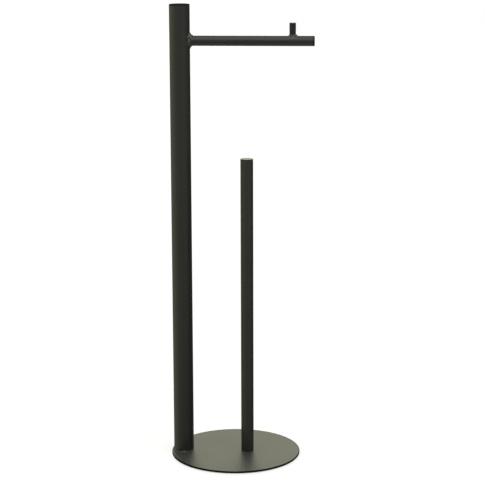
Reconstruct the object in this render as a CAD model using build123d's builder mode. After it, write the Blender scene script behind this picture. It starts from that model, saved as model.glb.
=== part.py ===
from build123d import *
import math
import os

# A free-standing toilet paper holder: a round steel plate carries a tall column with a fixed roll arm, and a
# thinner post that spare rolls are stacked on. Millimetres, +Z up. The origin is the centre of the plate, on the
# floor. +X runs from the column to the post and along the arm; -Y is the front.

os.makedirs("parts", exist_ok=True)

# Floor pads
pad_diameter = 12.0
pad_thickness = 1.0
pad_count = 6
pad_circle_radius = 68.0
pad_edge_round = 0.3

# Base plate
plate_diameter = 164.0
plate_thickness = 2.5
plate_edge_round = 0.5

# Column: a 1 inch tube that stands close to the edge of the plate
column_diameter = 25.4
column_wall = 1.2
column_height = 570.5  # from the top of the plate to the top of the cap
column_edge_margin = 2.3  # from the column's side to the edge of the plate
column_bead_leg = 1.8

# Roll arm: a half inch tube that runs level from the column
arm_diameter = 12.7
arm_wall = 1.0
arm_height = 526.0  # from the top of the plate to the arm's axis
arm_reach = 165.5  # from the column's axis to the arm's free end
arm_bead_rise = 4.0  # up and down the column
arm_bead_run = 4.6  # along the arm

# Stop pin: a solid rod near the arm's free end
pin_diameter = 8.0
pin_from_end = 27.0
pin_rise = 22.2  # from the arm's axis to the pin's top
pin_edge_round = 0.6
pin_bead_rise = 3.0  # up the pin
pin_bead_run = 2.2  # along the arm

# Spare roll post
post_diameter = 16.0
post_wall = 1.0
post_height = 380.0  # from the top of the plate to the top of the cap
post_x = 15.0

# Softened outer edges where a tube ends
tube_end_round = 0.25

# Press-in caps
cap_flange = 1.5
cap_edge_round = 0.6
cap_spigot_depth = 9.0
cap_spigot_wall = 1.4
cap_spigot_slack = 0.3  # between the spigot and the tube's bore, bridged by the ribs
cap_rib_slack = 0.02
cap_rib_count = 3
cap_rib_pitch = 2.4
cap_rib_height = 0.8
arm_cap_flange = 2.0
arm_cap_edge_round = 1.0

# Post fixing: an M5 countersunk screw in a plug that is pressed into the post's foot
screw_diameter = 5.0
screw_length = 16.0
screw_head_diameter = 9.2
screw_socket_flats = 3.0
screw_socket_depth = 1.6
screw_recess = 0.1  # how far the head lies above the underside of the plate
screw_hole_diameter = 5.4
screw_sink_diameter = 9.8
plug_length = 18.0
plug_bore_diameter = 5.1
plug_edge_chamfer = 0.5
plug_slack = 0.02

# Levels and places that follow from the sizes above
plate_underside = pad_thickness
plate_top = plate_underside + plate_thickness
column_x = column_diameter / 2 + column_edge_margin - plate_diameter / 2
arm_axis_z = plate_top + arm_height
arm_end_x = column_x + arm_reach
pin_x = arm_end_x - pin_from_end

column_foot = Plane(origin=(column_x, 0, plate_top))
post_foot = Plane(origin=(post_x, 0, plate_top))
arm_root = Plane(origin=(column_x, 0, arm_axis_z), x_dir=(0, 1, 0), z_dir=(1, 0, 0))
pin_root = Plane(origin=(pin_x, 0, arm_axis_z))


def finish(piece, label):
    """Names a finished piece and writes it to its own file."""
    piece.part.label = label
    export_step(piece.part, f"parts/{label}.step")


def press_in_cap(label, mouth, diameter, wall, flange, edge_round):
    """A moulded cap in a tube's mouth: a flange as wide as the tube, and a hollow spigot with grip ribs."""
    bore_radius = diameter / 2 - wall
    spigot_radius = bore_radius - cap_spigot_slack
    with BuildPart() as cap:
        with BuildSketch(mouth):
            Circle(diameter / 2)
        extrude(amount=flange)
        rims = cap.edges().filter_by(GeomType.CIRCLE).sort_by(Axis(mouth.origin, mouth.z_dir))
        fillet(rims[-1], radius=edge_round)
        fillet(rims[0], radius=tube_end_round)
        with BuildSketch(mouth):
            Circle(spigot_radius)
        extrude(amount=-cap_spigot_depth)
        for rib in range(cap_rib_count):
            with BuildSketch(mouth.offset(-cap_rib_pitch * (rib + 1))):
                Circle(bore_radius - cap_rib_slack)
            extrude(amount=-cap_rib_height)
        with BuildSketch(mouth.offset(-cap_spigot_depth)):
            Circle(spigot_radius - cap_spigot_wall)
        extrude(amount=cap_spigot_depth, mode=Mode.SUBTRACT)
    finish(cap, label)


def round_tube(label, foot, diameter, wall, length, welded_foot):
    """A straight tube that rises from its foot. A welded foot keeps its square outer edge."""
    with BuildPart() as tube:
        with BuildSketch(foot):
            Circle(diameter / 2)
            Circle(diameter / 2 - wall, mode=Mode.SUBTRACT)
        extrude(amount=length)
        outer_rims = tube.edges().filter_by(GeomType.CIRCLE).group_by(SortBy.RADIUS)[-1].sort_by(Axis.Z)
        fillet(outer_rims[-1:] if welded_foot else outer_rims, radius=tube_end_round)
    finish(tube, label)


# Base plate: a flat disc with softened edges and a countersunk hole for the post's screw
with BuildPart() as base_plate:
    with BuildSketch(Plane.XY.offset(plate_underside)):
        Circle(plate_diameter / 2)
    extrude(amount=plate_thickness)
    fillet(base_plate.edges(), radius=plate_edge_round)
    with Locations(Plane(origin=(post_x, 0, plate_underside), z_dir=(0, 0, -1))):
        CounterSinkHole(radius=screw_hole_diameter / 2, counter_sink_radius=screw_sink_diameter / 2)
finish(base_plate, "base_plate")

# Floor pads: thin discs stuck under the plate, one near each sixth of its edge
pad_places = PolarLocations(pad_circle_radius, pad_count).locations
for number, place in enumerate(pad_places, start=1):
    with BuildPart() as floor_pad:
        with BuildSketch(Plane(origin=place.position)):
            Circle(pad_diameter / 2)
        extrude(amount=pad_thickness)
        fillet(floor_pad.faces().sort_by(Axis.Z)[0].edges(), radius=pad_edge_round)
    finish(floor_pad, f"floor_pad_{number}")

# Column and its cap
round_tube("column_tube", column_foot, column_diameter, column_wall, column_height - cap_flange, True)
press_in_cap(
    "column_cap",
    column_foot.offset(column_height - cap_flange),
    column_diameter,
    column_wall,
    cap_flange,
    cap_edge_round,
)

# Weld bead round the column's foot, slightly crowned between the tube and the plate
with BuildPart() as column_weld:
    with BuildSketch(Plane(origin=(column_x, 0, plate_top), x_dir=(1, 0, 0), z_dir=(0, -1, 0))):
        root = column_diameter / 2
        crown = 0.6 * column_bead_leg
        with BuildLine():
            Line((root, 0), (root + column_bead_leg, 0))
            ThreePointArc((root + column_bead_leg, 0), (root + crown, crown), (root, column_bead_leg))
            Line((root, column_bead_leg), (root, 0))
        make_face()
    revolve(axis=Axis((column_x, 0, plate_top), (0, 0, 1)))
finish(column_weld, "column_weld")

# Roll arm: its inner end is coped to sit against the round side of the column
with BuildPart() as arm_tube:
    with BuildSketch(arm_root):
        Circle(arm_diameter / 2)
        Circle(arm_diameter / 2 - arm_wall, mode=Mode.SUBTRACT)
    extrude(amount=arm_reach - arm_cap_flange)
    with BuildSketch(Plane(origin=(column_x, 0, arm_axis_z - arm_diameter))):
        Circle(column_diameter / 2)
    extrude(amount=2 * arm_diameter, mode=Mode.SUBTRACT)
    free_end = arm_tube.edges().filter_by(GeomType.CIRCLE).group_by(Axis.X)[-1]
    fillet(free_end.sort_by(SortBy.RADIUS)[-1], radius=tube_end_round)
finish(arm_tube, "arm_tube")

press_in_cap(
    "arm_end_cap",
    arm_root.offset(arm_reach - arm_cap_flange),
    arm_diameter,
    arm_wall,
    arm_cap_flange,
    arm_cap_edge_round,
)

# Weld bead round the arm: a ring about the arm that is cut back to the column's side
with BuildPart() as arm_weld:
    with BuildSketch(Plane(origin=(column_x, 0, arm_axis_z), x_dir=(1, 0, 0), z_dir=(0, -1, 0))):
        inner = arm_diameter / 2
        outer = inner + arm_bead_rise
        column_side = column_diameter / 2
        hidden_start = math.sqrt(column_side**2 - outer**2) - 0.5
        toe = column_side + arm_bead_run
        with BuildLine():
            Polyline((toe, inner), (hidden_start, inner), (hidden_start, outer), (column_side, outer))
            ThreePointArc(
                (column_side, outer),
                (column_side + 0.45 * arm_bead_run, inner + 0.65 * arm_bead_rise),
                (toe, inner),
            )
        make_face()
    revolve(axis=Axis((column_x, 0, arm_axis_z), (1, 0, 0)))
    with BuildSketch(Plane(origin=(column_x, 0, arm_axis_z - arm_diameter))):
        Circle(column_side)
    extrude(amount=2 * arm_diameter, mode=Mode.SUBTRACT)
finish(arm_weld, "arm_weld")

# Stop pin: a solid rod, coped to stand on the arm, with a softened top edge
with BuildPart() as stop_pin:
    with BuildSketch(pin_root):
        Circle(pin_diameter / 2)
    extrude(amount=pin_rise)
    fillet(stop_pin.faces().sort_by(Axis.Z)[-1].edges(), radius=pin_edge_round)
    with BuildSketch(arm_root.offset(pin_x - column_x - pin_diameter)):
        Circle(arm_diameter / 2)
    extrude(amount=2 * pin_diameter, mode=Mode.SUBTRACT)
finish(stop_pin, "stop_pin")

# Weld bead round the pin: a ring about the pin that is cut back to the arm's back
with BuildPart() as pin_weld:
    with BuildSketch(Plane(origin=(pin_x, 0, arm_axis_z), x_dir=(1, 0, 0), z_dir=(0, -1, 0))):
        inner = pin_diameter / 2
        outer = inner + pin_bead_run
        arm_top = arm_diameter / 2
        bead_top = arm_top + pin_bead_rise
        with BuildLine():
            Polyline((inner, bead_top), (inner, 0), (outer, 0), (outer, arm_top))
            ThreePointArc(
                (outer, arm_top),
                (inner + 0.6 * pin_bead_run, arm_top + 0.55 * pin_bead_rise),
                (inner, bead_top),
            )
        make_face()
    revolve(axis=Axis((pin_x, 0, arm_axis_z), (0, 0, 1)))
    with BuildSketch(arm_root.offset(pin_x - column_x - 2 * pin_diameter)):
        Circle(arm_diameter / 2)
    extrude(amount=4 * pin_diameter, mode=Mode.SUBTRACT)
finish(pin_weld, "pin_weld")

# Spare roll post and its cap
round_tube("post_tube", post_foot, post_diameter, post_wall, post_height - cap_flange, False)
press_in_cap(
    "post_cap",
    post_foot.offset(post_height - cap_flange),
    post_diameter,
    post_wall,
    cap_flange,
    cap_edge_round,
)

# Threaded plug in the post's foot, standing on the plate; the thread is left out
with BuildPart() as post_insert:
    with BuildSketch(post_foot):
        Circle(post_diameter / 2 - post_wall - plug_slack)
        Circle(plug_bore_diameter / 2, mode=Mode.SUBTRACT)
    extrude(amount=plug_length)
    chamfer(post_insert.faces().sort_by(Axis.Z)[-1].edges(), length=plug_edge_chamfer)
finish(post_insert, "post_insert")

# Countersunk screw from under the plate, with a hexagon socket
screw_face = plate_underside + screw_recess
head_radius = screw_head_diameter / 2
shank_radius = screw_diameter / 2
head_cone = head_radius - shank_radius
with BuildPart() as post_screw:
    with BuildSketch(Plane(origin=(post_x, 0, screw_face), x_dir=(1, 0, 0), z_dir=(0, -1, 0))):
        with BuildLine():
            Polyline(
                (0, 0),
                (head_radius, 0),
                (shank_radius, head_cone),
                (shank_radius, screw_length),
                (0, screw_length),
                close=True,
            )
        make_face()
    revolve(axis=Axis((post_x, 0, 0), (0, 0, 1)))
    with BuildSketch(Plane(origin=(post_x, 0, screw_face))):
        RegularPolygon(radius=screw_socket_flats / 2, side_count=6, major_radius=False)
    extrude(amount=screw_socket_depth, mode=Mode.SUBTRACT)
finish(post_screw, "post_screw")
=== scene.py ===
import math

import bpy
from mathutils import Matrix, Vector


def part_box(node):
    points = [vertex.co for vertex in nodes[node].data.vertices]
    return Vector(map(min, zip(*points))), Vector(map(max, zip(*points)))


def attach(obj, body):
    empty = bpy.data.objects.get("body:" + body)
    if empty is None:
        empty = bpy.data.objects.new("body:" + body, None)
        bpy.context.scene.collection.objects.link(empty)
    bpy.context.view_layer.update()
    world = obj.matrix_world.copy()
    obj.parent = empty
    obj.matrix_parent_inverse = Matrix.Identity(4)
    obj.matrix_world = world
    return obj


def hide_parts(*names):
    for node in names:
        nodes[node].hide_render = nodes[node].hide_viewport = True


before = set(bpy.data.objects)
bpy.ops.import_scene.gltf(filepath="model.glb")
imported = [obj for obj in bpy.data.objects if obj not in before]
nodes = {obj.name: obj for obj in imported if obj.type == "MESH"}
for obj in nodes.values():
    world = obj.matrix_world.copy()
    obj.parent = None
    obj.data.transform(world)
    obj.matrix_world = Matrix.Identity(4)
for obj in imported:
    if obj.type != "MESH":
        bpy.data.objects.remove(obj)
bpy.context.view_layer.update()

# ------------------------------------------------------------------------------------------------
# Base plate
# A round plate of 2.5 mm mild steel, cut out, deburred all round and powder coated in satin black.
# The column is welded to it, and the spare roll post is screwed on from below.

MM = 0.001
plate_low, plate_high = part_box("base_plate")
plate_radius = (plate_high.x - plate_low.x) / 2


class Value:
    """A number that varies over a surface. Python's operators on it add the Math nodes that it needs."""

    def __init__(self, recipe, socket):
        self.recipe = recipe
        self.socket = socket

    def output(self, name):
        """Another output of the same node."""
        return Value(self.recipe, self.socket.node.outputs[name])

    def __add__(self, other):
        return self.recipe.maths("ADD", self, other)

    def __sub__(self, other):
        return self.recipe.maths("SUBTRACT", self, other)

    def __mul__(self, other):
        return self.recipe.maths("MULTIPLY", self, other)

    def __truediv__(self, other):
        return self.recipe.maths("DIVIDE", self, other)

    def __pow__(self, other):
        return self.recipe.maths("POWER", self, other)

    def __radd__(self, other):
        return self.recipe.maths("ADD", other, self)

    def __rsub__(self, other):
        return self.recipe.maths("SUBTRACT", other, self)

    def __rmul__(self, other):
        return self.recipe.maths("MULTIPLY", other, self)

    def __rtruediv__(self, other):
        return self.recipe.maths("DIVIDE", other, self)


class Recipe:
    """A node tree being filled in, for a finish, a shape or the studio's light."""

    def __init__(self, tree):
        self.tree = tree

    def fill(self, made, sockets):
        """Sets or links a node's sockets. A list is several links into one socket."""
        for key, entry in sockets.items():
            for value in entry if isinstance(entry, list) else [entry]:
                if isinstance(value, Value):
                    self.tree.links.new(value.socket, made.inputs[key])
                else:
                    made.inputs[key].default_value = value

    def node(self, kind, settings=None, sockets=None, output=0):
        """Adds a node of this kind: its settings first, then the values or links of its sockets."""
        made = self.tree.nodes.new(kind)
        for name, setting in (settings or {}).items():
            if name == "stops":
                while len(made.color_ramp.elements) < len(setting):
                    made.color_ramp.elements.new(1.0)
                for element, (position, colour) in zip(made.color_ramp.elements, setting):
                    element.position = position
                    element.color = colour
            else:
                setattr(made, name, setting)
        self.fill(made, sockets or {})
        return Value(self, made.outputs[output]) if len(made.outputs) else None

    def maths(self, operation, *terms):
        """Maths that has no operator, such as a sine or the larger of two values."""
        return self.node("ShaderNodeMath", {"operation": operation}, dict(enumerate(terms)))

    def vector(self, operation, *terms, scale=None):
        """Vector maths, for places and directions."""
        sockets = dict(enumerate(terms))
        if scale is not None:
            sockets["Scale"] = scale
        return self.node("ShaderNodeVectorMath", {"operation": operation}, sockets)

    def noise(self, place, size, detail=2.0, roughness=0.5, seed=0.0):
        """Cloudy variation from 0 to 1, with clouds of about this size in metres."""
        return self.node(
            "ShaderNodeTexNoise",
            {"noise_dimensions": "4D"},
            {"Vector": place, "W": seed, "Scale": 1 / size, "Detail": detail, "Roughness": roughness},
        )

    def cells(self, place, per_metre):
        """How far each place is from the middle of its cell, in the widths of a cell."""
        return self.node("ShaderNodeTexVoronoi", None, {"Vector": place, "Scale": per_metre}, "Distance")

    def rise(self, value, start, end):
        """A soft step: 0 up to start, 1 from end on."""
        return self.node(
            "ShaderNodeMapRange",
            {"interpolation_type": "SMOOTHSTEP"},
            {"Value": value, "From Min": start, "From Max": end},
        )

    def blend(self, amount, low, high):
        """One colour turning into another as the amount goes from 0 to 1."""
        return self.node("ShaderNodeMix", {"data_type": "RGBA"}, {0: amount, 6: low, 7: high}, output=2)

    def bump(self, height, depth, strength=1.0):
        """A height from 0 to about 1 that stands up by this depth in metres."""
        return self.node("ShaderNodeBump", None, {"Strength": strength, "Distance": depth, "Height": height})


def new_finish(name):
    """An empty finish: the material, its recipe, its shader, and the place of each surface point."""
    material = bpy.data.materials.new(name)
    material.use_nodes = True
    recipe = Recipe(material.node_tree)
    shader = material.node_tree.nodes["Principled BSDF"]
    place = recipe.node("ShaderNodeTexCoord", output="Object")
    return material, recipe, shader, place


def grey(level, warmth=0.0, green=0.0):
    """A neutral colour; warmth takes blue out of it, and green moves it from red to green."""
    return (level * (1 + 0.3 * warmth - green), level * (1 + 0.2 * warmth + green), level * (1 - warmth), 1.0)


def powder_coat(name, level, warmth, smoothest, roughest, relief, drawn=None, shine=0.5):
    """Baked satin powder: a slow orange peel, a fine dry grain, clouds of thicker film and a few dust nibs.
    On a tube, the marks of its drawing show through faintly along it."""
    material, recipe, shader, place = new_finish(name)
    film = recipe.noise(place, 45 * MM, detail=3.0)
    peel = recipe.noise(place, 2.4 * MM, detail=1.0, seed=3.0)
    grain = recipe.noise(place, 0.5 * MM, detail=2.0, seed=7.0)
    nibs_per_metre = 130
    nib = 1 - recipe.rise(recipe.cells(place, nibs_per_metre), 0.02, 0.07)
    colour = recipe.blend(0.55 * film + 0.45 * grain, grey(level * 0.75, warmth), grey(level * 1.3, warmth))
    roughness = smoothest + (roughest - smoothest) * (0.6 * film + 0.4 * peel)
    height = 0.6 * peel + 0.3 * grain + 0.5 * nib
    if drawn:
        marks = recipe.noise(recipe.vector("MULTIPLY", place, drawn), 2.2 * MM, detail=2.0, seed=11.0)
        height = height + 0.9 * marks
        roughness = roughness + 0.10 * (marks - 0.5)
    recipe.fill(shader, {"Base Color": colour, "Roughness": roughness, "Normal": recipe.bump(height, relief)})
    shader.inputs["IOR"].default_value = 1.5
    shader.inputs["Specular IOR Level"].default_value = shine
    return material


def paint_rim_shade(material, radius):
    """Painted shade: a thin, dull, nearly black line round the plate's edge that barely reflects, so the edge
    shows dark.
    """
    recipe = Recipe(material.node_tree)
    place = recipe.node("ShaderNodeTexCoord", output="Object")
    from_middle = recipe.vector("LENGTH", recipe.vector("MULTIPLY", place, (1, 1, 0))).output("Value")
    rim_shade_mask = recipe.rise(from_middle, radius - 1.2 * MM, radius - 0.6 * MM)
    rim_shade_mottle = recipe.noise(place, 1.2 * MM, detail=2.0, seed=17.0)
    # Painted shade: a near-black, barely reflecting finish, mixed in only at the rim
    thin = recipe.node(
        "ShaderNodeBsdfPrincipled",
        None,
        {
            "Base Color": recipe.blend(rim_shade_mottle, grey(0.003, 0.1), grey(0.008, 0.1)),
            "Roughness": 0.35 + 0.15 * rim_shade_mottle,
            "Specular IOR Level": 0.02,
        },
    )
    coat = Value(recipe, material.node_tree.nodes["Principled BSDF"].outputs[0])
    mixed = recipe.node("ShaderNodeMixShader", None, {0: rim_shade_mask, 1: coat, 2: thin})
    recipe.fill(material.node_tree.nodes["Material Output"], {"Surface": mixed})


def dress(piece, material):
    """Gives a whole piece one finish."""
    piece.data.materials.clear()
    piece.data.materials.append(material)


plate_coating = powder_coat(
    "plate_coating", level=0.024, warmth=0.12, smoothest=0.42, roughest=0.52, relief=0.04 * MM
)
# Painted shade round the plate's edge
paint_rim_shade(plate_coating, plate_radius)
dress(nodes["base_plate"], plate_coating)

# ------------------------------------------------------------------------------------------------
# Floor pads
# Six discs of black closed-cell foam with an adhesive back, pressed on by hand near the plate's
# edge. The weight on them swells their rims a little.

pad_count = 6
pad_swell = 0.25 * MM
pad_nudge = 0.5 * MM
pad_low, pad_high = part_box("floor_pad_1")
pad_radius = (pad_high.x - pad_low.x) / 2
pad_thickness = pad_high.z - pad_low.z
pad_ring_radius = (pad_high.x + pad_low.x) / 2


def pad_foam():
    """Closed-cell foam: fine cut cells and a dull, dusty skin."""
    material, recipe, shader, place = new_finish("pad_foam")
    cells_per_metre = 2800
    cells = recipe.cells(place, cells_per_metre)
    dust = recipe.noise(place, 6 * MM, detail=3.0)
    colour = recipe.blend(0.6 * dust + 0.4 * cells, grey(0.012), grey(0.035, 0.05))
    bump = recipe.bump(cells, 0.08 * MM, strength=0.8)
    recipe.fill(shader, {"Base Color": colour, "Roughness": 0.78 + 0.15 * dust, "Normal": bump})
    return material


def new_shape(name, wanted):
    """An empty shape tree with these named inputs: its recipe and its input values."""
    tree = bpy.data.node_groups.new(name, "GeometryNodeTree")
    for label, kind in wanted.items():
        tree.interface.new_socket(label, in_out="INPUT", socket_type="NodeSocket" + kind)
    tree.interface.new_socket("Shape", in_out="OUTPUT", socket_type="NodeSocketGeometry")
    recipe = Recipe(tree)
    return recipe, recipe.node("NodeGroupInput")


def close_shape(recipe, geometry, finish):
    """Ends a shape tree: real faces, smooth shading and the finish."""
    geometry = recipe.node("GeometryNodeRealizeInstances", None, {"Geometry": geometry})
    geometry = recipe.node("GeometryNodeSetShadeSmooth", None, {"Geometry": geometry})
    geometry = recipe.node("GeometryNodeSetMaterial", None, {"Geometry": geometry, "Material": finish})
    recipe.node("NodeGroupOutput", None, {"Shape": geometry})
    return recipe.tree


def make_piece(name, start, tree, sizes):
    """Runs a shape tree on a starting mesh and keeps the result as a plain mesh."""
    piece = bpy.data.objects.new(name, start)
    modifier = piece.modifiers.new("shape", "NODES")
    modifier.node_group = tree
    identifiers = {item.name: item.identifier for item in tree.interface.items_tree if item.in_out == "INPUT"}
    for label, size in sizes.items():
        modifier[identifiers[label]] = size
    bpy.context.scene.collection.objects.link(piece)
    evaluated = piece.evaluated_get(bpy.context.evaluated_depsgraph_get())
    made = bpy.data.meshes.new_from_object(evaluated)
    piece.modifiers.clear()
    piece.data = made
    made.name = name
    return piece


def pad_shape():
    """One pad is a fine disc whose rim swells; copies of it stand in a ring, each nudged at random."""
    recipe, given = new_shape(
        "floor_pads",
        {
            "Start": "Geometry",
            "Count": "Int",
            "Ring Radius": "Float",
            "Pad Radius": "Float",
            "Thickness": "Float",
            "Swell": "Float",
            "Nudge": "Float",
            "Seed": "Int",
            "Finish": "Material",
        },
    )
    radius, thickness, swell = given.output("Pad Radius"), given.output("Thickness"), given.output("Swell")
    disc = recipe.node(
        "GeometryNodeMeshCylinder",
        {"fill_type": "NGON"},
        {"Vertices": 64, "Side Segments": 8, "Radius": radius - swell, "Depth": thickness},
    )
    place = recipe.node("GeometryNodeInputPosition")
    level = recipe.node("ShaderNodeSeparateXYZ", None, {"Vector": place}, "Z") * 2 / thickness
    flat_place = recipe.vector("MULTIPLY", place, (1, 1, 0))
    outward = recipe.vector("NORMALIZE", flat_place)
    off_middle = recipe.rise(recipe.vector("LENGTH", flat_place).output("Value"), 0.5 * MM, 1 * MM)
    bulge = recipe.vector("SCALE", outward, scale=swell * (1 - level * level) * off_middle)
    disc = recipe.node("GeometryNodeSetPosition", None, {"Geometry": disc, "Offset": bulge})
    ring = recipe.node(
        "GeometryNodeMeshCircle",
        None,
        {"Vertices": given.output("Count"), "Radius": given.output("Ring Radius")},
    )
    aside = recipe.node(
        "FunctionNodeRandomValue",
        {"data_type": "FLOAT_VECTOR"},
        {0: (-1, -1, 0), 1: (1, 1, 0), "Seed": given.output("Seed")},
    )
    aside = recipe.vector("SCALE", aside, scale=given.output("Nudge"))
    lift = recipe.node("ShaderNodeCombineXYZ", None, {"Z": thickness / 2})
    ring = recipe.node(
        "GeometryNodeSetPosition", None, {"Geometry": ring, "Offset": recipe.vector("ADD", aside, lift)}
    )
    copies = recipe.node("GeometryNodeInstanceOnPoints", None, {"Points": ring, "Instance": disc})
    return close_shape(recipe, copies, given.output("Finish"))


pads = make_piece(
    "floor_pads",
    bpy.data.meshes.new("floor_pads_start"),
    pad_shape(),
    {
        "Count": pad_count,
        "Ring Radius": pad_ring_radius,
        "Pad Radius": pad_radius,
        "Thickness": pad_thickness,
        "Swell": pad_swell,
        "Nudge": pad_nudge,
        "Seed": 4,
        "Finish": pad_foam(),
    },
)
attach(pads, "root")
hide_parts(*[f"floor_pad_{number}" for number in range(1, pad_count + 1)])

# ------------------------------------------------------------------------------------------------
# Column
# An upright steel tube, 25.4 mm across, that stands near the edge of the plate. It is coated in one
# go with the plate and the arm, after welding.

along_z = (1, 1, 0.01)
column_coating = powder_coat(
    "column_coating",
    level=0.006,
    warmth=0.18,
    smoothest=0.27,
    roughest=0.35,
    relief=0.03 * MM,
    drawn=along_z,
    shine=0.63,
)
dress(nodes["column_tube"], column_coating)

# ------------------------------------------------------------------------------------------------
# Caps
# Moulded nylon caps, pushed into the open tube ends after coating: a dead matt one on the column, a
# satin one on the post and a thicker satin one with a rounder edge on the arm.


def cap_plastic(name, level, shine):
    """Moulded nylon: the fine spark texture of the mould, a little duller than the coated steel."""
    material, recipe, shader, place = new_finish(name)
    spark = recipe.noise(place, 0.3 * MM, detail=2.0)
    cloud = recipe.noise(place, 8 * MM, detail=2.0)
    colour = recipe.blend(0.5 * spark + 0.5 * cloud, grey(0.67 * level, 0.1), grey(1.33 * level, 0.1))
    bump = recipe.bump(spark, 0.03 * MM)
    recipe.fill(shader, {"Base Color": colour, "Roughness": 0.28 + 0.1 * cloud, "Normal": bump})
    shader.inputs["Specular IOR Level"].default_value = shine
    return material


dress(nodes["column_cap"], cap_plastic("cap_plastic_dull", level=0.018, shine=0.0))
satin_nylon = cap_plastic("cap_plastic_satin", level=0.009, shine=0.25)
for cap in ("post_cap", "arm_end_cap"):
    dress(nodes[cap], satin_nylon)

# ------------------------------------------------------------------------------------------------
# Column's foot weld
# A hand-laid bead that runs all round the foot of the column, coated over with the rest. The torch
# leaves overlapping ripples, uneven legs and lumps where the bead was stopped and restarted.

column_low, column_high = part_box("column_tube")
column_axis_x = (column_low.x + column_high.x) / 2
column_radius = (column_high.x - column_low.x) / 2
restart_bearing = math.radians(278)
restart_spread = math.radians(13)
foot_up, foot_up_restart, foot_up_outer = 0.9 * MM, 1.5 * MM, 1.4 * MM
foot_out, foot_out_restart, foot_out_outer = 1.7 * MM, 1.3 * MM, 0.2 * MM
seam_points = 360
crown_points = 16


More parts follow.
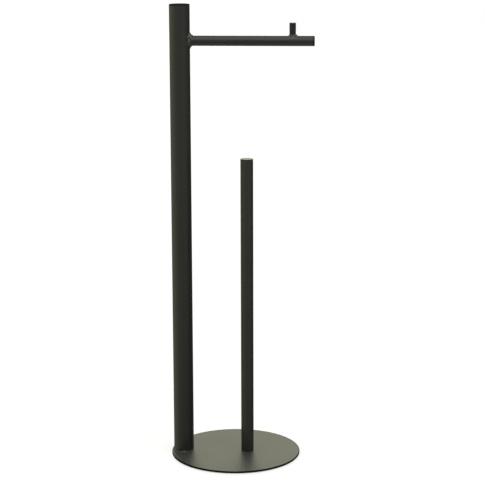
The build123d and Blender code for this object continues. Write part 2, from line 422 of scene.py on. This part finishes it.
def weld_shape():
    """A seam loop that carries the ways to its two toes becomes a crowned, rippled bead with spatter."""
    recipe, given = new_shape(
        "weld_bead",
        {
            "Seam": "Geometry",
            "Crown": "Float",
            "Sink": "Float",
            "Leg Variation": "Float",
            "Lump Size": "Float",
            "Lump Height": "Float",
            "Ripple Pitch": "Float",
            "Ripple Height": "Float",
            "Spatter Count": "Int",
            "Spatter Size": "Float",
            "Spatter Lies On": "Object",
            "Seed": "Int",
            "Finish": "Material",
        },
    )

    def kept(label, kind="FLOAT_VECTOR"):
        return recipe.node("GeometryNodeInputNamedAttribute", {"data_type": kind}, {"Name": label})

    def keep(geometry, label, value):
        return recipe.node(
            "GeometryNodeStoreNamedAttribute",
            {"data_type": "FLOAT", "domain": "POINT"},
            {"Geometry": geometry, "Name": label, "Value": value},
        )

    # The seam becomes a closed curve that remembers how many ripples lie behind each of its points
    seam = recipe.node("GeometryNodeMeshToCurve", None, {"Mesh": given.output("Seam")})
    travel = recipe.node("GeometryNodeSplineParameter", output="Factor")
    length = recipe.node("GeometryNodeSplineLength", output="Length")
    seam = keep(seam, "ripple", travel * recipe.maths("ROUND", length / given.output("Ripple Pitch")))

    # A ring of points across the bead: all but the last lie on its face, and the last is its root
    ring = recipe.node(
        "GeometryNodeCurvePrimitiveCircle", None, {"Resolution": crown_points + 1, "Radius": MM}
    )
    ring = keep(ring, "across", recipe.node("GeometryNodeInputIndex") / (crown_points - 1))
    bead = recipe.node("GeometryNodeCurveToMesh", None, {"Curve": seam, "Profile Curve": ring})

    root, toe_one, toe_two = kept("root"), kept("toe_one"), kept("toe_two")
    across = kept("across", "FLOAT")
    just_past_face = 1.01
    on_face = 1 - recipe.maths("GREATER_THAN", across, just_past_face)
    angle = recipe.maths("MINIMUM", across, 1.0) * (math.pi / 2)
    to_one, to_two = (
        recipe.maths("MAXIMUM", recipe.maths(wave, angle), 0.0) ** given.output("Crown") * on_face
        for wave in ("COSINE", "SINE")
    )
    crest = recipe.maths("SINE", angle * 2) * on_face
    seed_stride = 1.37
    noise_seed = given.output("Seed") * seed_stride

    def wander(size, seed_step):
        return recipe.noise(root, size, detail=1.0, seed=noise_seed + seed_step) * 2 - 1

    to_one = to_one * (1 + given.output("Leg Variation") * wander(5 * MM, 0.0))
    to_two = to_two * (1 + given.output("Leg Variation") * wander(4 * MM, 5.0))
    legs = recipe.vector(
        "ADD", recipe.vector("SCALE", toe_one, scale=to_one), recipe.vector("SCALE", toe_two, scale=to_two)
    )
    place = recipe.vector("ADD", root, legs)
    both_ways = recipe.vector("ADD", recipe.vector("NORMALIZE", toe_one), recipe.vector("NORMALIZE", toe_two))
    outward = recipe.vector("NORMALIZE", both_ways)
    lumps = recipe.noise(place, given.output("Lump Size"), detail=0.0, seed=noise_seed + 9.0)
    lump = given.output("Lump Height") * (lumps * 2 - 1)
    off_crest = across * 2 - 1
    bowed = kept("ripple", "FLOAT") + 0.45 * off_crest * off_crest + 0.5 * wander(3 * MM, 13.0)
    wave = recipe.maths("ABSOLUTE", recipe.maths("SINE", bowed * math.pi))
    raised = recipe.vector("SCALE", outward, scale=(lump + given.output("Ripple Height") * wave) * crest)
    sunk = recipe.vector("SCALE", both_ways, scale=0 - given.output("Sink"))
    place = recipe.vector("ADD", recipe.vector("ADD", place, raised), sunk)
    bead = recipe.node("GeometryNodeSetPosition", None, {"Geometry": bead, "Position": place})

    # Spatter: small round drops, thrown from the seam past its second toe and stuck to the metal there
    def chance(low, high, step):
        seed = given.output("Seed") + step
        return recipe.node(
            "FunctionNodeRandomValue", {"data_type": "FLOAT"}, {2: low, 3: high, "Seed": seed}, output=1
        )

    def at_drop(label):
        return recipe.node(
            "GeometryNodeSampleIndex",
            {"data_type": "FLOAT_VECTOR", "domain": "POINT"},
            {"Geometry": given.output("Seam"), "Value": kept(label), "Index": chance(0, seam_points - 1, 1)},
        )

    drops = recipe.node("GeometryNodePoints", None, {"Count": given.output("Spatter Count")})
    throw = recipe.vector("SCALE", at_drop("toe_two"), scale=chance(1.2, 2.3, 2))
    thrown = recipe.vector("ADD", at_drop("root"), throw)
    drops = recipe.node("GeometryNodeSetPosition", None, {"Geometry": drops, "Position": thrown})
    metal = recipe.node(
        "GeometryNodeObjectInfo", None, {"Object": given.output("Spatter Lies On")}, "Geometry"
    )
    nearest = recipe.node("GeometryNodeProximity", {"target_element": "FACES"}, {0: metal}, "Position")
    drops = recipe.node("GeometryNodeSetPosition", None, {"Geometry": drops, "Position": nearest})
    ball = recipe.node(
        "GeometryNodeMeshIcoSphere", None, {"Radius": given.output("Spatter Size"), "Subdivisions": 3}
    )
    spatter = recipe.node(
        "GeometryNodeInstanceOnPoints",
        None,
        {"Points": drops, "Instance": ball, "Scale": chance(0.5, 1.3, 3)},
    )
    both = recipe.node("GeometryNodeJoinGeometry", None, {"Geometry": [spatter, bead]})
    return close_shape(recipe, both, given.output("Finish"))


def seam_loop(name, point_at):
    """A closed seam. point_at gives the root and both toes at an angle round it."""
    places = [point_at(2 * math.pi * step / seam_points) for step in range(seam_points)]
    columns = {
        "root": [root for root, _, _ in places],
        "toe_one": [one - root for root, one, _ in places],
        "toe_two": [two - root for root, _, two in places],
    }
    mesh = bpy.data.meshes.new(name)
    mesh.from_pydata(columns["root"], [(step, (step + 1) % seam_points) for step in range(seam_points)], [])
    for label, vectors in columns.items():
        attribute = mesh.attributes.new(label, "FLOAT_VECTOR", "POINT")
        attribute.data.foreach_set("vector", [number for vector in vectors for number in vector])
    return mesh


def lay_weld(name, point_at, node, spatter_on, finish, seed, crown, ripple, lump, lump_size, drops):
    """Lays one bead along its seam and sets it in the place of the plain CAD ring."""
    bead = make_piece(
        name,
        seam_loop(name + "_seam", point_at),
        weld_tree,
        {
            "Crown": crown,
            "Sink": 0.09 * MM,
            "Leg Variation": 0.22,
            "Lump Size": lump_size,
            "Lump Height": lump,
            "Ripple Pitch": 1.6 * MM,
            "Ripple Height": ripple,
            "Spatter Count": drops,
            "Spatter Size": 0.35 * MM,
            "Spatter Lies On": nodes[spatter_on],
            "Seed": seed,
            "Finish": finish,
        },
    )
    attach(bead, "root")
    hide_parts(node)


def column_foot(angle):
    """The seam round the foot: fuller where the bead was restarted, and steep next to the plate's edge."""
    around = Vector((math.cos(angle), math.sin(angle), 0))
    root = Vector((column_axis_x, 0, plate_high.z)) + around * column_radius
    restart = math.exp(-(((angle - restart_bearing) / restart_spread) ** 2))
    outer = max(0.0, -math.cos(angle))
    leg_up = foot_up + foot_up_restart * restart + foot_up_outer * outer**2
    leg_out = foot_out + foot_out_restart * restart + foot_out_outer * outer
    return root, root + Vector((0, 0, leg_up)), root + around * leg_out


weld_tree = weld_shape()
dull_weld = powder_coat(
    "dull_weld_coating",
    level=0.020,
    warmth=0.12,
    smoothest=0.32,
    roughest=0.42,
    relief=0.05 * MM,
    shine=0.35,
)
lay_weld(
    "column_foot_bead",
    column_foot,
    node="column_weld",
    spatter_on="base_plate",
    finish=dull_weld,
    seed=3,
    crown=2.2,
    ripple=0.20 * MM,
    lump=0.6 * MM,
    lump_size=3.2 * MM,
    drops=4,
)

# ------------------------------------------------------------------------------------------------
# Arm
# A level steel tube, 12.7 mm across, cut to the column's curve at one end and welded on. The marks
# of its drawing run along it.

along_x = (0.01, 1, 1)
arm_coating = powder_coat(
    "arm_coating",
    level=0.011,
    warmth=0.15,
    smoothest=0.26,
    roughest=0.34,
    relief=0.03 * MM,
    drawn=along_x,
)
dress(nodes["arm_tube"], arm_coating)

# ------------------------------------------------------------------------------------------------
# Arm weld
# A bead round the saddle where the arm meets the column. It reaches further on top, where the torch
# was held longest, and further down the column underneath.

arm_low, arm_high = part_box("arm_tube")
arm_axis_z = (arm_low.z + arm_high.z) / 2
arm_radius = (arm_high.z - arm_low.z) / 2
saddle_along, saddle_along_top = 2.9 * MM, 1.5 * MM
saddle_round, saddle_round_above, saddle_round_below = 2.6 * MM, 1.8 * MM, 1.7 * MM


def arm_saddle(angle):
    """The seam round the arm, from its top: one toe runs along the arm, the other over the column."""
    over, under = max(0.0, math.cos(angle)), max(0.0, -math.cos(angle))
    leg_on_arm = saddle_along + saddle_along_top * over**1.5
    leg_on_column = saddle_round + saddle_round_above * over + saddle_round_below * under

    def on_column(bearing, level):
        across, back = column_radius * math.cos(bearing), column_radius * math.sin(bearing)
        return Vector((column_axis_x + across, back, level))

    bearing = math.asin(arm_radius * math.sin(angle) / column_radius)
    level = arm_axis_z + arm_radius * math.cos(angle)
    root = on_column(bearing, level)
    turned = bearing + leg_on_column * math.sin(angle) / column_radius
    toe = on_column(turned, level + leg_on_column * math.cos(angle))
    return root, root + Vector((leg_on_arm, 0, 0)), toe


bright_weld = powder_coat(
    "bright_weld_coating",
    level=0.011,
    warmth=0.12,
    smoothest=0.12,
    roughest=0.20,
    relief=0.05 * MM,
    shine=0.78,
)
lay_weld(
    "arm_bead",
    arm_saddle,
    node="arm_weld",
    spatter_on="column_tube",
    finish=bright_weld,
    seed=17,
    crown=3.3,
    ripple=0.30 * MM,
    lump=1.1 * MM,
    lump_size=3.0 * MM,
    drops=3,
)

# ------------------------------------------------------------------------------------------------
# Stop pin
# A short solid rod, 8 mm across with a broken edge, welded upright near the arm's end. It keeps the
# roll from sliding off.

pin_coating = powder_coat(
    "pin_coating",
    level=0.007,
    warmth=0.12,
    smoothest=0.34,
    roughest=0.42,
    relief=0.03 * MM,
    drawn=along_z,
    shine=0.38,
)
dress(nodes["stop_pin"], pin_coating)

# ------------------------------------------------------------------------------------------------
# Pin weld
# A heavy tack round the foot of the pin, fuller on the side away from the column and down the front
# of the arm, with drops of spatter beside it.

pin_low, pin_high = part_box("stop_pin")
pin_axis_x = (pin_low.x + pin_high.x) / 2
pin_radius = (pin_high.x - pin_low.x) / 2
tack_up, tack_up_outer, tack_up_front = 2.0 * MM, 1.3 * MM, 0.4 * MM
tack_out, tack_out_outer, tack_out_inner, tack_out_front = 2.0 * MM, 1.5 * MM, 0.3 * MM, 1.8 * MM


def pin_saddle(angle):
    """The seam round the pin: one toe runs up the pin, the other over the arm's round top."""
    outer, inner = max(0.0, math.cos(angle)), max(0.0, -math.cos(angle))
    front = max(0.0, -math.sin(angle))
    leg_up = tack_up + tack_up_outer * outer + tack_up_front * front
    leg_out = tack_out + tack_out_outer * outer - tack_out_inner * inner + tack_out_front * front**2

    def on_arm(along, bearing):
        return Vector((along, arm_radius * math.sin(bearing), arm_axis_z + arm_radius * math.cos(bearing)))

    bearing = math.asin(pin_radius * math.sin(angle) / arm_radius)
    along = pin_axis_x + pin_radius * math.cos(angle)
    root = on_arm(along, bearing)
    toe = on_arm(along + leg_out * math.cos(angle), bearing + leg_out * math.sin(angle) / arm_radius)
    return root, root + Vector((0, 0, leg_up)), toe


lay_weld(
    "pin_bead",
    pin_saddle,
    node="pin_weld",
    spatter_on="arm_tube",
    finish=bright_weld,
    seed=21,
    crown=2.9,
    ripple=0.40 * MM,
    lump=1.1 * MM,
    lump_size=3.2 * MM,
    drops=6,
)

# ------------------------------------------------------------------------------------------------
# Spare roll post
# An upright steel tube, 16 mm across, coated on its own and screwed to the plate from below.

post_coating = powder_coat(
    "post_coating",
    level=0.009,
    warmth=0.22,
    smoothest=0.27,
    roughest=0.35,
    relief=0.03 * MM,
    drawn=along_z,
    shine=0.61,
)
dress(nodes["post_tube"], post_coating)

# ------------------------------------------------------------------------------------------------
# Threaded plug and screw
# A turned steel plug is pressed into the foot of the post. A zinc-plated M5 screw with a countersunk
# head and a hexagon socket pulls it down onto the plate.


def plug_steel():
    """Bare turned steel: fine rings round the plug's own axis and a thin film of oil."""
    material, recipe, shader, place = new_finish("plug_steel")
    ring_pitch = 0.12 * MM
    level = recipe.node("ShaderNodeSeparateXYZ", None, {"Vector": place}, "Z")
    rings = recipe.maths("SINE", level * (2 * math.pi / ring_pitch))
    oil = recipe.noise(place, 4 * MM, detail=3.0)
    colour = recipe.blend(oil, (0.36, 0.35, 0.33, 1), (0.50, 0.49, 0.47, 1))
    bump = recipe.bump(rings, 0.01 * MM, strength=0.6)
    recipe.fill(shader, {"Base Color": colour, "Roughness": 0.28 + 0.18 * oil, "Normal": bump})
    shader.inputs["Metallic"].default_value = 1.0
    return material


def zinc_plate():
    """Bright zinc with a bluish passivation, faintly yellow in places, and small scuffs from the key."""
    material, recipe, shader, place = new_finish("zinc_plate")
    tint = recipe.noise(place, 3 * MM, detail=2.0)
    scuff = recipe.rise(recipe.noise(place, 0.7 * MM, detail=3.0, roughness=0.7), 0.52, 0.66)
    colour = recipe.blend(tint, (0.52, 0.56, 0.62, 1), (0.62, 0.60, 0.52, 1))
    bump = recipe.bump(scuff, 0.02 * MM, strength=0.5)
    recipe.fill(shader, {"Base Color": colour, "Roughness": 0.24 + 0.2 * scuff, "Normal": bump})
    shader.inputs["Metallic"].default_value = 1.0
    return material


dress(nodes["post_insert"], plug_steel())
dress(nodes["post_screw"], zinc_plate())

# ------------------------------------------------------------------------------------------------
# Studio
# A pale floor that runs on without an edge, in a white room. A large soft panel overhead and in
# front lights it. Behind, a bright backdrop stands above a dark lower wall.

scene = bpy.context.scene
scene.view_settings.view_transform = "Standard"
floor_reach = 6.0
floor_level = -0.05 * MM
floor_mesh = bpy.data.meshes.new("studio_floor")
floor_mesh.from_pydata(
    [(x * floor_reach, y * floor_reach, floor_level) for x, y in ((-1, -1), (1, -1), (1, 1), (-1, 1))],
    [],
    [(0, 1, 2, 3)],
)
floor = bpy.data.objects.new("studio_floor", floor_mesh)
scene.collection.objects.link(floor)
floor.visible_glossy = False


def floor_paint():
    """Matt white studio paint, lit until it is as bright as the room behind it."""
    material, recipe, shader, place = new_finish("floor_paint")
    roller = recipe.noise(place, 20 * MM, detail=2.0)
    colour = recipe.blend(roller, grey(0.33), grey(0.37))
    recipe.fill(shader, {"Base Color": colour, "Emission Color": (1, 1, 1, 1), "Emission Strength": 0.65})
    shader.inputs["Roughness"].default_value = 0.9
    shader.inputs["Specular IOR Level"].default_value = 0.0
    return material


dress(floor, floor_paint())


def light_room():
    """The room's brightness by direction: walls by bearing, and panel and backdrop by pitch."""
    world = bpy.data.worlds.new("studio_room")
    world.use_nodes = True
    world.node_tree.nodes.clear()
    recipe = Recipe(world.node_tree)
    direction = recipe.node("ShaderNodeTexCoord", output="Generated")
    x = recipe.node("ShaderNodeSeparateXYZ", None, {"Vector": direction}, "X")
    y, z = x.output("Y"), x.output("Z")
    elevation = recipe.maths("ARCSINE", z)

    def ring_of_light(along, turn, start, rows):
        """A ramp of greys; a row gives its degrees, its level and warmth, and sometimes its green."""
        stops = [((degrees - start) / turn, grey(level, *tint)) for degrees, level, *tint in rows]
        return recipe.node("ShaderNodeValToRGB", {"stops": stops}, {"Fac": along})

    # By bearing, just below eye level: olive on the left, grey in front, dim on the right, dark behind
    walls = ring_of_light(
        recipe.maths("ARCTAN2", x, 0 - y) / (2 * math.pi) + 0.5,
        360,
        -180,
        (
            (-180, 0.10, 0.10),
            (-150, 0.13, 0.16),
            (-125, 0.50, 0.22, 0.01),
            (-99, 0.68, 0.26, 0.01),
            (-58, 0.64, 0.24, 0.01),
            (-40, 0.46, 0.10),
            (12, 0.45, 0.08),
            (47, 0.55, 0.08),
            (89, 0.32, 0.05),
            (120, 0.10, 0.10),
            (180, 0.10, 0.10),
        ),
    )
    # By pitch over the top, from the front round to the back: the soft panel, then the backdrop
    ceiling = ring_of_light(
        recipe.maths("ARCTAN2", z, 0 - y) / math.pi,
        180,
        0,
        (
            (0, 0.42, 0.05),
            (22, 0.45, 0.05),
            (35, 1.62, 0.02),
            (88, 1.62, 0.02),
            (104, 0.50, 0.05),
            (142, 0.45, 0.10),
            (152, 2.30, 0.20, 0.02),
            (171, 2.30, 0.20, 0.02),
            (175, 0.10, 0.10),
            (180, 0.10, 0.10),
        ),
    )
    dusk = recipe.rise(elevation - math.radians(5) * x, math.radians(-22), math.radians(-15))
    above_floor = recipe.rise(elevation, math.radians(-50), math.radians(-32))
    below = recipe.blend(above_floor, grey(0.5), recipe.blend(dusk, grey(0.10), walls))
    ceiling_edge = 0.05 + 0.5 * recipe.maths("ABSOLUTE", x)
    lit = recipe.blend(recipe.rise(elevation, math.radians(1), ceiling_edge), below, ceiling)
    seen_directly = recipe.node("ShaderNodeLightPath", output="Is Camera Ray")
    colour = recipe.blend(seen_directly, lit, (1, 1, 1, 1))
    background = recipe.node("ShaderNodeBackground", None, {"Color": colour, "Strength": 1.0})
    recipe.node("ShaderNodeOutputWorld", None, {"Surface": background})
    return world


scene.world = light_room()

camera_distance = 2.0407
camera_height = 0.7249
camera_bearing = 0.0641
camera_tilt = 0.2161
camera_pan = -0.0046
camera_roll = -0.0032
camera_lens = 123.53
camera_data = bpy.data.cameras.new("studio_camera")
camera_data.lens = camera_lens
camera = bpy.data.objects.new("studio_camera", camera_data)
scene.collection.objects.link(camera)
camera_place = (
    camera_distance * math.sin(camera_bearing),
    -camera_distance * math.cos(camera_bearing),
    camera_height,
)
camera.matrix_world = (
    Matrix.Translation(camera_place)
    @ Matrix.Rotation(camera_bearing + camera_pan, 4, "Z")
    @ Matrix.Rotation(math.pi / 2 - camera_tilt, 4, "X")
    @ Matrix.Rotation(camera_roll, 4, "Z")
)
scene.camera = camera
